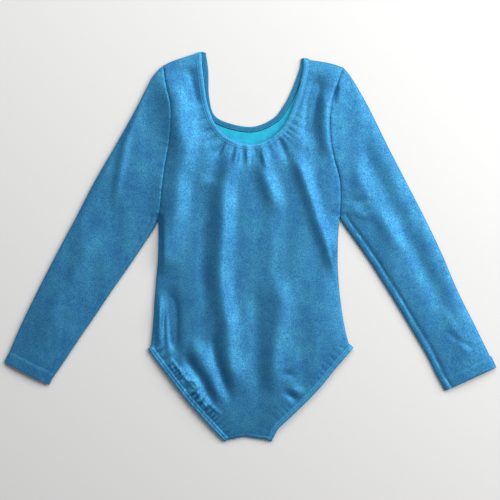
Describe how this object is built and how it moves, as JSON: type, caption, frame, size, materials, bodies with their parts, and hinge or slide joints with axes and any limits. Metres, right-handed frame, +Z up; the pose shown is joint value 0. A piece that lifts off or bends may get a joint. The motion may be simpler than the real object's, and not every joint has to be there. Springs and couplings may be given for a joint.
{
  "type": "gymnastics leotard",
  "caption": "Child's long-sleeved gymnastics leotard in shiny blue stretch cloth, laid flat on its back, with a scoop neck, elastic leg openings and sleeves that fold over the front.",
  "frame": {"origin": "on the surface that the leotard lies on, under the middle of the whole garment as it lies", "axes": "+X towards the wearer's left cuff, +Y from crotch to neck, +Z up, out of the front of the garment"},
  "size_m": [0.6388, 0.504, 0.0148],
  "materials": {
    "shiny_stretch_cloth": "foil-printed stretch velvet, satin sheen with fine glitter grain",
    "hem_cloth": "the same cloth, stretched smooth over the elastic",
    "stitching": "matte polyester thread",
    "overlock_thread": "matte textured thread",
    "elastic": "woven elastic, matte",
    "cotton_lining": "cotton jersey, matte"
  },
  "bodies": {
    "bodice": {"front_panel": "shiny_stretch_cloth", "back_panel": "shiny_stretch_cloth", "neck_hem": "hem_cloth", "left_leg_hem": "hem_cloth", "right_leg_hem": "hem_cloth", "neck_elastic": "elastic", "left_leg_elastic": "elastic", "right_leg_elastic": "elastic", "gusset_lining": "cotton_lining", "front_neck_stitching": "stitching", "back_neck_stitching": "stitching", "left_leg_stitching": "stitching", "right_leg_stitching": "stitching", "crotch_seam": "overlock_thread", "left_shoulder_seam": "overlock_thread", "right_shoulder_seam": "overlock_thread", "left_side_seam": "overlock_thread", "right_side_seam": "overlock_thread", "left_armhole_seam": "overlock_thread", "right_armhole_seam": "overlock_thread"},
    "left_arm": {"left_sleeve": "shiny_stretch_cloth", "left_cuff_hem": "hem_cloth", "left_cuff_stitching": "stitching", "left_sleeve_seam": "overlock_thread"},
    "right_arm": {"right_sleeve": "shiny_stretch_cloth", "right_cuff_hem": "hem_cloth", "right_cuff_stitching": "stitching", "right_sleeve_seam": "overlock_thread"}
  },
  "joints": [
    {"name": "left_sleeve_fold", "type": "hinge", "parent": "bodice", "child": "left_arm", "pos_m": [0.12, 0, 0.015], "axis": [0, -1, 0], "range_deg": [0, 179]},
    {"name": "right_sleeve_fold", "type": "hinge", "parent": "bodice", "child": "right_arm", "pos_m": [-0.12, 0, 0.015], "axis": [0, 1, 0], "range_deg": [0, 166]}
  ]
}
